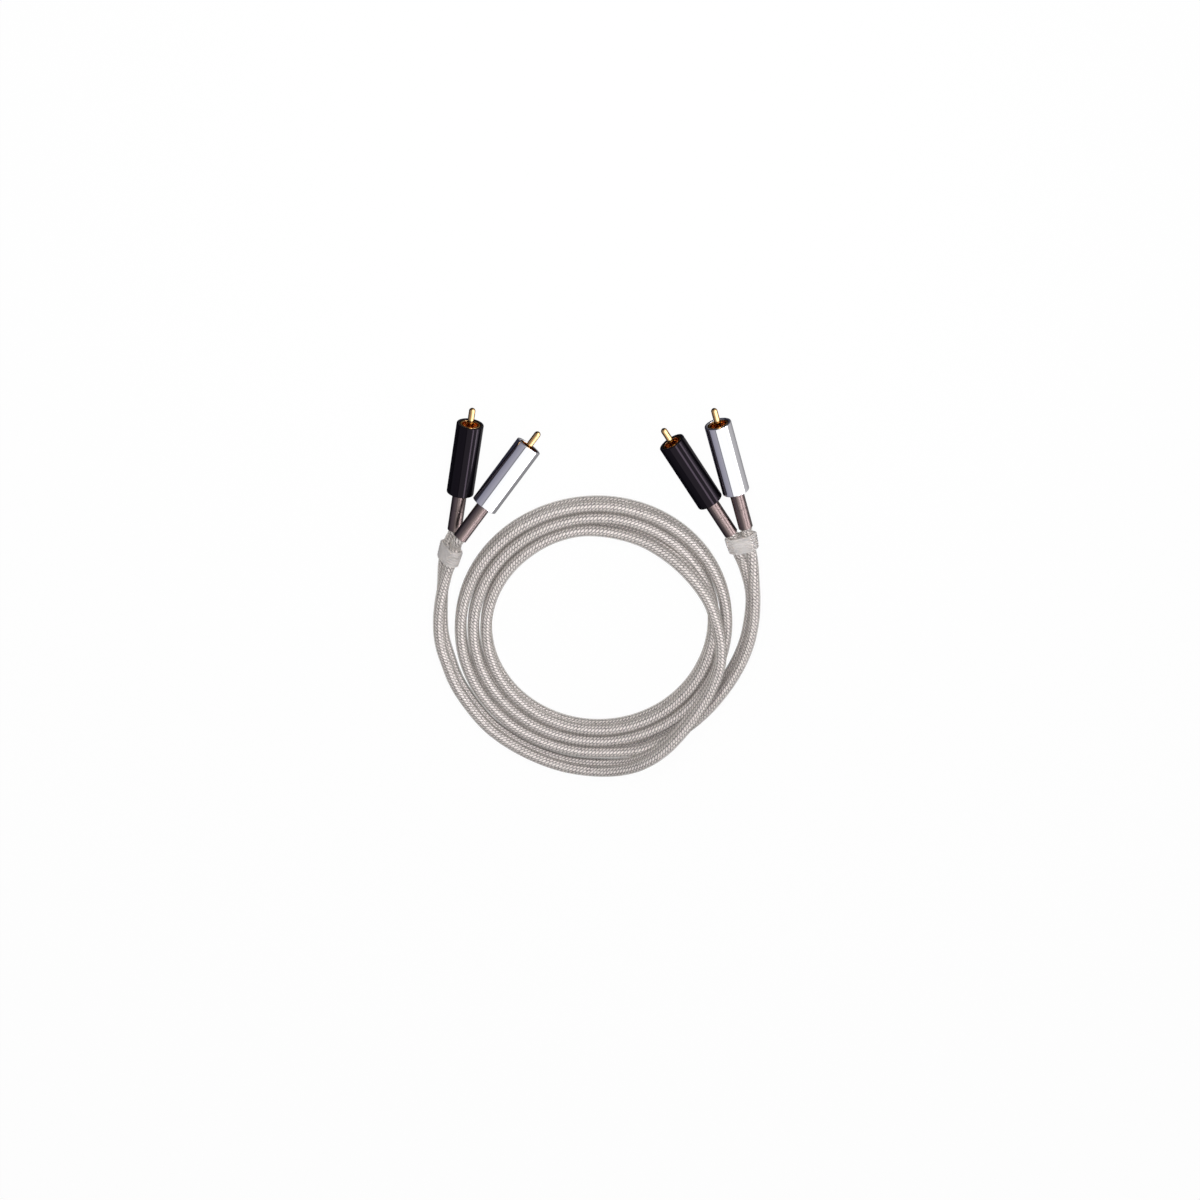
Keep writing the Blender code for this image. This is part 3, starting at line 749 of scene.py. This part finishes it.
def braid(name, rows):
    """Flat strands wound both ways round a core's line, each over and under the others in turn."""
    sizes = settings("phono_cable")
    pick, carriers = sizes.pick_length, sizes.carriers
    rows = resample(rows, pick)
    places, along, to_core, across = route_frames(rows)
    count = len(rows)
    lay = pick * 2 * carriers
    distance = np.arange(count) * pick
    lift = np.where(np.arange(count) % 2 == 0, 1.0, -1.0) * sizes.braid_relief / 2
    radius = sizes.braid_diameter / 2
    slope = np.arctan2(2 * pi * radius, lay)
    half_turn = sizes.strand_width / 2 * cos(slope) / radius
    half_run = sizes.strand_width / 2 * sin(slope)
    points = []
    for way in (1, -1):
        for carrier in range(carriers):
            base = 2 * pi * carrier / carriers + way * 2 * pi * distance / lay
            for side, crown in ((-1, -STRAND_CROWN), (0, 0.0), (1, -STRAND_CROWN)):
                angle = base + side * way * half_turn
                reach = (radius + way * lift + crown)[:, None]
                offset = np.cos(angle)[:, None] * to_core + np.sin(angle)[:, None] * across
                points.append(places + offset * reach - along * side * half_run)
    points = np.stack(points).reshape(2 * carriers, 3, count, 3)
    index = np.arange(points.size // 3).reshape(2 * carriers, 3, count)
    low, high = index[:, :-1], index[:, 1:]
    faces = np.stack([low[..., :-1], high[..., :-1], high[..., 1:], low[..., 1:]], axis=-1)
    faces[:carriers] = faces[:carriers, :, :, ::-1]
    mesh = mesh_from(name, points.reshape(-1, 3), faces.reshape(-1, 4))
    across_strand = np.broadcast_to(np.array([0.0, 0.5, 1.0])[None, :, None], index.shape).copy()
    across_strand[carriers:] += SECOND_WAY_SHIFT
    down_strand = np.broadcast_to(np.arange(count)[None, None, :] * 1.0, index.shape)
    strand = np.stack([across_strand, down_strand], axis=-1).reshape(-1, 2)
    layer = mesh.uv_layers.new(name="strand")
    layer.data.foreach_set("uv", strand[faces.reshape(-1)].astype(np.float32).ravel())
    return mesh


def braided_core(name, rows, materials):
    """The braid and its bedding along one core's line, as pieces."""
    sizes = settings("phono_cable")
    braid_material, bedding_material = materials
    screen = bpy.data.objects.new(name + "_braid", braid(name + "_braid", rows))
    bedding_radius = sizes.braid_diameter / 2 - sizes.braid_relief - BEDDING_GAP
    bedding_mesh = swept(name + "_bedding", resample(rows, JACKET_SPACING),
                         round_section(bedding_radius, BEDDING_CORNERS))
    bedding = bpy.data.objects.new(name + "_bedding", bedding_mesh)
    screen.visible_glossy = bedding.visible_glossy = False
    return [register_piece(screen, material=braid_material),
            register_piece(bedding, material=bedding_material)]


def plug_frame(side, finish):
    """The plug's own frame in the world: its origin is the middle of its front face."""
    sizes = settings("phono_plug")
    end = PLUG_ENDS[side]
    plug = end[finish]
    heading, dip = radians(plug["heading"]), radians(plug["dip"])
    forward = Vector((sin(heading), cos(heading)))
    across = Vector((cos(heading), -sin(heading)))
    radius = sizes.shell_diameter / 2
    rear = end["meeting"] + across * plug["side"] * (radius + plug["clear"]) + forward * plug["forward"]
    front = rear + forward * sizes.shell_length * cos(dip)
    turn = Matrix.Rotation(-heading, 4, "Z") @ Matrix.Rotation(radians(-90) - dip, 4, "X")
    return Matrix.Translation((*front, radius * cos(dip))) @ turn


def lead_route(side, finish):
    """One lead's line, from the splitter's socket through the sleeve into the plug."""
    plugs = settings("phono_plug")
    place, plug = splitter_frame(side), plug_frame(side, finish)
    offset = LEAD_SPACING / 2 if finish == "silver" else -LEAD_SPACING / 2
    face = -settings("phono_splitter").length / 2
    floor = place @ Vector((offset, 0, face + SOCKET_DEPTH - SEAT_GAP))
    mouth = place @ Vector((offset, 0, face - SEAT_GAP))
    sleeve_end = plugs.shell_length + plugs.sleeve_reach
    entry = plug @ Vector((0, 0, -sleeve_end - SEAT_GAP))
    jacket_end = plug @ Vector((0, 0, -LEAD_END_DEPTH))
    pull = (entry - mouth).length * LEAD_BEND
    leave = mouth + (mouth - floor).normalized() * pull
    arrive = entry + (entry - jacket_end).normalized() * pull
    bend = interpolate_bezier(mouth, leave, arrive, entry, LEAD_BEND_POINTS)
    rows = np.array([(*point, 0.0) for point in (floor, *bend, jacket_end)])
    return resample(rows, FINE_SPACING)


# Operators

class PHONO_OT_stage(bpy.types.Operator):
    """Set up the camera, the pale floor, the studio surround and the soft lamp"""
    bl_idname = "phono.stage"
    bl_label = "Stage"

    def execute(self, context):
        self.add_camera(context)
        self.add_floor(context)
        self.add_surround(context)
        self.add_lamp(context)
        context.scene.view_settings.view_transform = "Standard"
        return {"FINISHED"}

    def add_camera(self, context):
        data = bpy.data.cameras.new("camera")
        data.sensor_width = SENSOR
        data.lens = SENSOR * CAMERA_DISTANCE / FRAME_WIDTH
        data.clip_end = 20
        camera = bpy.data.objects.new("camera", data)
        back = Vector((0, sin(CAMERA_TILT), cos(CAMERA_TILT)))
        camera.location = CAMERA_TARGET + back * CAMERA_DISTANCE
        camera.rotation_euler = (-CAMERA_TILT, 0, 0)
        context.scene.collection.objects.link(camera)
        context.scene.camera = camera

    def add_floor(self, context):
        """A wide floor, white but for soft shadows. Polish shows the surround in its place."""
        stage = settings("phono_stage")
        bpy.ops.mesh.primitive_plane_add(size=FLOOR_SIZE, location=(0, 0, -FLOOR_GAP))
        floor = context.object
        floor.name = "floor"
        material, shader = principled("floor", base_color=stage.floor_colour, roughness=0.9,
                                      specular_ior_level=0.0)
        glow = add_node(material, "ShaderNodeEmission")
        seen = add_node(material, "ShaderNodeLightPath")
        direct = add_node(material, "ShaderNodeMath", operation="MAXIMUM")
        share = add_node(material, "ShaderNodeMath", operation="MULTIPLY", in_1=stage.floor_glow)
        white_mix = add_node(material, "ShaderNodeMixShader")
        wire(material, seen.outputs["Is Camera Ray"], direct.inputs[0])
        wire(material, seen.outputs["Is Transmission Ray"], direct.inputs[1])
        wire(material, direct.outputs[0], share.inputs[0])
        wire(material, share.outputs[0], white_mix.inputs["Fac"])
        wire(material, shader.outputs["BSDF"], white_mix.inputs[1])
        wire(material, glow.outputs["Emission"], white_mix.inputs[2])
        wire(material, white_mix.outputs["Shader"],
             material.node_tree.nodes["Material Output"].inputs["Surface"])
        floor.data.materials.append(material)
        floor.visible_glossy = False

    def add_surround(self, context):
        """Even soft light, and for reflections long panels that run along Y."""
        stage = settings("phono_stage")
        world = bpy.data.worlds.new("studio")
        world.use_nodes = True
        context.scene.world = world
        direction = add_node(world, "ShaderNodeTexCoord")
        parts = add_node(world, "ShaderNodeSeparateXYZ")
        angle = add_node(world, "ShaderNodeMath", operation="ARCTAN2")
        share = add_node(world, "ShaderNodeMapRange")
        share.inputs["From Min"].default_value = -pi
        share.inputs["From Max"].default_value = pi
        panels = add_node(world, "ShaderNodeValToRGB")
        ramp = panels.color_ramp
        ramp.elements[0].position = 0.0
        ramp.elements[0].color = (*SURROUND[0][1], 1.0)
        ramp.elements[1].position = 1.0
        ramp.elements[1].color = (*SURROUND[-1][1], 1.0)
        for degrees, colour in SURROUND[1:-1]:
            ramp.elements.new((degrees + 180) / 360).color = (*colour, 1.0)
        background = world.node_tree.nodes["Background"]
        endwards = add_node(world, "ShaderNodeMath", operation="ABSOLUTE")
        dim = add_node(world, "ShaderNodeMapRange")
        dim.inputs["From Min"].default_value = ENDS_START
        dim.inputs["From Max"].default_value = ENDS_FULL
        dim.inputs["To Min"].default_value = stage.sky_strength
        dim.inputs["To Max"].default_value = stage.sky_strength * ENDS_SHARE
        wire(world, parts.outputs["Y"], endwards.inputs[0])
        wire(world, endwards.outputs[0], dim.inputs["Value"])
        wire(world, dim.outputs["Result"], background.inputs["Strength"])
        wire(world, direction.outputs["Generated"], parts.inputs["Vector"])
        wire(world, parts.outputs["X"], angle.inputs[0])
        wire(world, parts.outputs["Z"], angle.inputs[1])
        wire(world, angle.outputs[0], share.inputs["Value"])
        wire(world, share.outputs["Result"], panels.inputs["Fac"])
        seen = add_node(world, "ShaderNodeLightPath")
        choice = add_node(world, "ShaderNodeMix", data_type="RGBA")
        even = add_node(world, "ShaderNodeMix", data_type="RGBA")
        even.inputs["A"].default_value = (*EVEN_LIGHT_SIDES, 1.0)
        even.inputs["B"].default_value = (*EVEN_LIGHT_ENDS, 1.0)
        wire(world, endwards.outputs[0], even.inputs["Factor"])
        wire(world, even.outputs["Result"], choice.inputs["A"])
        wire(world, seen.outputs["Is Glossy Ray"], choice.inputs["Factor"])
        wire(world, panels.outputs["Color"], choice.inputs["B"])
        wire(world, choice.outputs["Result"], background.inputs["Color"])

    def add_lamp(self, context):
        data = bpy.data.lights.new("key", "AREA")
        data.shape = "RECTANGLE"
        data.size = data.size_y = LAMP_SIZE
        data.energy = settings("phono_stage").key_power
        lamp = bpy.data.objects.new("key", data)
        lamp.location = LAMP_PLACE
        lamp.visible_glossy = False
        lamp.rotation_euler = (CAMERA_TARGET - LAMP_PLACE).to_track_quat("-Z", "Y").to_euler()
        context.scene.collection.objects.link(lamp)


class PHONO_OT_twin_cable(bpy.types.Operator):
    """Build the twin cable: its clear jacket and the two braided cores inside"""
    bl_idname = "phono.twin_cable"
    bl_label = "Twin cable"

    def execute(self, context):
        sizes = settings("phono_cable")
        fine = twin_route(FINE_SPACING)
        rows = resample(fine, JACKET_SPACING)
        jacket = bpy.data.objects.new("twin_jacket", swept("twin_jacket", rows, figure_eight()))
        jacket.visible_glossy = False
        register_piece(jacket, ["twin_cable"], clear_jacket())
        materials = (braid_wire(), braid_bedding())
        inner = []
        radius = sizes.core_diameter / 2
        for name, offset in (("first_core", radius), ("second_core", -radius)):
            inner += braided_core(name, core_rows(fine, offset, FINE_SPACING), materials)
        return {"FINISHED"}


class PHONO_OT_leads(bpy.types.Operator):
    """Build the four short leads between the splitters and the plugs"""
    bl_idname = "phono.leads"
    bl_label = "Leads"

    def execute(self, context):
        sizes = settings("phono_cable")
        jacket_material, materials = clear_jacket(), (braid_wire(), braid_bedding())
        for side in SIDES:
            for finish in FINISHES:
                self.add_lead(side, finish, sizes, jacket_material, materials)
        return {"FINISHED"}

    def add_lead(self, side, finish, sizes, jacket_material, materials):
        name = f"{side}_{finish}_lead"
        rows = lead_route(side, finish)
        section = round_section(sizes.core_diameter / 2, LEAD_CORNERS)
        jacket = bpy.data.objects.new(name + "_jacket", swept(name + "_jacket", rows, section))
        register_piece(jacket, [name], jacket_material)
        inner = braided_core(name, rows, materials)


class PHONO_OT_splitters(bpy.types.Operator):
    """Build the two milky splitter mouldings with their ribs and sockets"""
    bl_idname = "phono.splitters"
    bl_label = "Splitters"

    def execute(self, context):
        material = milky_moulding()
        for side in SIDES:
            self.add_splitter(context, side, material)
        return {"FINISHED"}

    def outline(self, level, share):
        """One section of the moulding: a flat oval, ribbed on its narrow sides only."""
        sizes = settings("phono_splitter")
        rib = abs(sin(pi * sizes.ribs * share)) ** RIB_ROUNDNESS
        radius = sizes.thickness / 2
        half = (sizes.width - sizes.taper * share ** 2) / 2 - radius
        points = []
        for side in (1, -1):
            for angle in np.radians(np.linspace(-90, 90, SIDE_POINTS)):
                groove = sizes.rib_depth * (1 - rib) * cos(angle) ** RIB_FADE
                reach = radius - groove
                points.append((side * (half + reach * cos(angle)), side * reach * sin(angle), level))
        return points

    def add_splitter(self, context, side, material):
        sizes = settings("phono_splitter")
        name = side + "_splitter_moulding"
        levels = LEVELS_A_RIB * sizes.ribs
        shares = [k / levels for k in range(levels + 1)]
        sections = [self.outline(sizes.length * (share - 0.5), share) for share in shares]
        body = bmesh.new()
        rings = [[body.verts.new(point) for point in section] for section in sections]
        for below, above in zip(rings, rings[1:]):
            for i in range(len(below)):
                j = (i + 1) % len(below)
                body.faces.new((below[i], below[j], above[j], above[i]))
        body.faces.new(list(reversed(rings[0])))
        body.faces.new(rings[-1])
        mesh = bpy.data.meshes.new(name)
        body.to_mesh(mesh)
        body.free()
        blank = bpy.data.objects.new(name + "_blank", mesh)
        context.scene.collection.objects.link(blank)
        cutters = self.add_cutters(context, blank)
        context.view_layer.update()
        cut = bpy.data.meshes.new_from_object(blank.evaluated_get(context.evaluated_depsgraph_get()))
        for item in (blank, *cutters):
            bpy.data.objects.remove(item)
        cut.shade_smooth()
        cut.set_sharp_from_angle(angle=CREASE_ANGLE)
        moulding = bpy.data.objects.new(name, cut)
        moulding.matrix_world = splitter_frame(side)
        register_piece(moulding, [side + "_splitter"], material)

    def add_cutters(self, context, blank):
        """The rods that cut the sockets for the two leads and the twin cable's two cores."""
        sizes, cable = settings("phono_splitter"), settings("phono_cable")
        end = sizes.length / 2
        spots = [(LEAD_SPACING / 2, -end), (-LEAD_SPACING / 2, -end),
                 (cable.core_diameter / 2, end), (-cable.core_diameter / 2, end)]
        cutters = []
        for offset, level in spots:
            bpy.ops.mesh.primitive_cylinder_add(vertices=SOCKET_CORNERS,
                                                radius=(cable.core_diameter + SEAT_GAP) / 2,
                                                depth=2 * SOCKET_DEPTH, location=(offset, 0, level))
            cutter = context.object
            cutters.append(cutter)
            cut = blank.modifiers.new("socket", "BOOLEAN")
            cut.operation = "DIFFERENCE"
            cut.object = cutter
        return cutters


class PHONO_OT_shells(bpy.types.Operator):
    """Build the four turned shells, black and silver"""
    bl_idname = "phono.shells"
    bl_label = "Shells"

    def execute(self, context):
        materials = {
            "black": ("black_lacquer", black_lacquer()),
            "silver": ("polished_nickel", polished_nickel()),
        }
        for side in SIDES:
            for finish, (slot, material) in materials.items():
                name = f"{side}_{finish}_shell"
                turned(name + "_turned", plug_frame(side, finish), self.profile(), True, material,
                       name, SHELL_STEPS)
        return {"FINISHED"}

    def profile(self):
        sizes = settings("phono_plug")
        outer = sizes.shell_diameter / 2
        mouth = sizes.collar_diameter / 2 + SEAT_GAP
        cavity = outer - SHELL_CAVITY_WALL
        rear_hole = sizes.sleeve_diameter / 2 + SEAT_GAP
        cavity_end = sizes.shell_length - SHELL_REAR_WALL
        corners = [
            (outer, 0),
            (outer, sizes.shell_length),
            (rear_hole, sizes.shell_length),
            (rear_hole, cavity_end),
            (cavity, cavity_end),
            (cavity, MOUTH_DEPTH),
            (mouth, MOUTH_DEPTH),
            (mouth, 0),
        ]
        return rounded(corners, SHELL_EASE)


class PHONO_OT_contacts(bpy.types.Operator):
    """Build the gold collars and pins, and the insulators between them"""
    bl_idname = "phono.contacts"
    bl_label = "Contacts"

    def execute(self, context):
        gold, amber = gold_plate(), insulator_plastic()
        for side in SIDES:
            for finish in FINISHES:
                plug = plug_frame(side, finish)
                name = f"{side}_{finish}_"
                turned(name + "collar_turned", plug, self.collar(), True, gold,
                       name + "collar", SHELL_STEPS)
                turned(name + "pin_turned", plug, self.pin(), False, gold,
                       name + "pin", INNER_STEPS)
                turned(name + "insulator_moulded", plug, self.insulator(), True, amber,
                       name + "insulator", INNER_STEPS)
        return {"FINISHED"}

    def collar(self):
        sizes = settings("phono_plug")
        outer, bore = sizes.collar_diameter / 2, sizes.collar_bore / 2
        flange = sizes.shell_diameter / 2 - SHELL_CAVITY_WALL - SEAT_GAP
        front = MOUTH_DEPTH + SEAT_GAP
        rear = front + COLLAR_FLANGE
        tail_bore = settings("phono_cable").core_diameter / 2 + SEAT_GAP
        tail = tail_bore + TAIL_WALL
        corners = [
            (outer, COLLAR_RECESS),
            (outer, front),
            (flange, front),
            (flange, rear),
            (tail, rear),
            (tail, TAIL_END_DEPTH),
            (tail_bore, TAIL_END_DEPTH),
            (tail_bore, rear),
            (COLLAR_WEB_BORE / 2, rear),
            (COLLAR_WEB_BORE / 2, COLLAR_WEB_DEPTH),
            (bore, COLLAR_WEB_DEPTH),
            (bore, COLLAR_RECESS),
        ]
        return rounded(corners, COLLAR_EASE)

    def pin(self):
        sizes = settings("phono_plug")
        radius = sizes.pin_diameter / 2
        quarter = np.linspace(0, pi / 2, PIN_NOSE_POINTS)
        nose = [(radius * sin(a), radius * (1 - cos(a)) - sizes.pin_reach) for a in quarter]
        flange = PIN_FLANGE_DIAMETER / 2
        front, rear = PIN_FLANGE_DEPTH, PIN_FLANGE_DEPTH + PIN_FLANGE_LENGTH
        cup, cup_floor = SOLDER_CUP_BORE / 2, PIN_END_DEPTH - SOLDER_CUP_DEPTH
        return nose + [
            (radius, front - PIN_CREASE),
            (radius, front),
            (flange - PIN_FLANGE_EASE, front),
            (flange, front + PIN_FLANGE_EASE),
            (flange, rear - PIN_FLANGE_EASE),
            (flange - PIN_FLANGE_EASE, rear),
            (radius, rear),
            (radius, PIN_END_DEPTH),
            (cup, PIN_END_DEPTH),
            (cup, cup_floor),
            (0, cup_floor),
        ]

    def insulator(self):
        sizes = settings("phono_plug")
        outer = sizes.collar_bore / 2 - SEAT_GAP
        boss = COLLAR_WEB_BORE / 2 - SEAT_GAP
        bore = sizes.pin_diameter / 2 + SEAT_GAP
        front = PIN_FLANGE_DEPTH + PIN_FLANGE_LENGTH + SEAT_GAP
        seat = COLLAR_WEB_DEPTH - SEAT_GAP
        end = seat + INSULATOR_BOSS
        corners = [(outer, front), (outer, seat), (boss, seat), (boss, end), (bore, end), (bore, front)]
        return rounded(corners, SMALL_EASE)


class PHONO_OT_sleeves(bpy.types.Operator):
    """Build the straight polished sleeves behind the shells"""
    bl_idname = "phono.sleeves"
    bl_label = "Sleeves"

    def execute(self, context):
        material = gunmetal()
        for side in SIDES:
            for finish in FINISHES:
                name = f"{side}_{finish}_sleeve"
                turned(name + "_turned", plug_frame(side, finish), self.profile(), True, material,
                       name, SLEEVE_STEPS)
        return {"FINISHED"}

    def profile(self):
        sizes = settings("phono_plug")
        outer, bore = sizes.sleeve_diameter / 2, SLEEVE_BORE / 2
        flange = sizes.shell_diameter / 2 - SHELL_CAVITY_WALL - SEAT_GAP
        flange_rear = sizes.shell_length - SHELL_REAR_WALL - SEAT_GAP
        flange_front = flange_rear - SLEEVE_FLANGE_LENGTH
        ring = sizes.shell_length + SLEEVE_RING_PLACE
        end = sizes.shell_length + sizes.sleeve_reach
        corners = [
            (flange, flange_front),
            (flange, flange_rear),
            (outer, flange_rear),
            (outer, ring),
            (outer - SLEEVE_RING_DEPTH, ring + SLEEVE_RING_WIDTH / 2),
            (outer, ring + SLEEVE_RING_WIDTH),
            (outer, end),
            (bore, end),
            (bore, flange_front),
        ]
        return rounded(corners, SMALL_EASE)


class PHONO_OT_inner_pieces(bpy.types.Operator):
    """Give the crimps and the inner wires, which stay as the frame has them, their materials"""
    bl_idname = "phono.inner_pieces"
    bl_label = "Inner pieces"

    def execute(self, context):
        finishes = {"_crimp": crimp_metal(), "_core_wire": wire_insulation()}
        for name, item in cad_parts.items():
            for ending, material in finishes.items():
                if name.endswith(ending):
                    item.data.materials.clear()
                    item.data.materials.append(material)
        return {"FINISHED"}


class PHONO_PT_build(bpy.types.Panel):
    """Lists the sizes, the colours and the steps that build the cable"""
    bl_idname = "PHONO_PT_build"
    bl_label = "Stereo phono cable"
    bl_space_type = "VIEW_3D"
    bl_region_type = "UI"
    bl_category = "Phono Cable"

    def draw(self, context):
        for group in SETTINGS:
            for name in getattr(context.scene, group).bl_rna.properties.keys():
                if name not in ("rna_type", "name"):
                    self.layout.prop(getattr(context.scene, group), name)
        for operator in OPERATORS:
            self.layout.operator(operator.bl_idname)


SETTINGS = {
    "phono_cable": PhonoCableSettings,
    "phono_plug": PhonoPlugSettings,
    "phono_splitter": PhonoSplitterSettings,
    "phono_stage": PhonoStageSettings,
}
OPERATORS = [
    PHONO_OT_stage,
    PHONO_OT_twin_cable,
    PHONO_OT_leads,
    PHONO_OT_splitters,
    PHONO_OT_shells,
    PHONO_OT_contacts,
    PHONO_OT_sleeves,
    PHONO_OT_inner_pieces,
]


def register():
    for group, kind in SETTINGS.items():
        bpy.utils.register_class(kind)
        setattr(bpy.types.Scene, group, PointerProperty(type=kind))
    for kind in (*OPERATORS, PHONO_PT_build):
        bpy.utils.register_class(kind)


def unregister():
    for kind in (PHONO_PT_build, *reversed(OPERATORS)):
        bpy.utils.unregister_class(kind)
    for group, kind in SETTINGS.items():
        delattr(bpy.types.Scene, group)
        bpy.utils.unregister_class(kind)


def main():
    register()
    for operator in OPERATORS:
        step = operator.bl_idname.split(".")[1]
        getattr(bpy.ops.phono, step)()


if __name__ == "__main__":
    main()
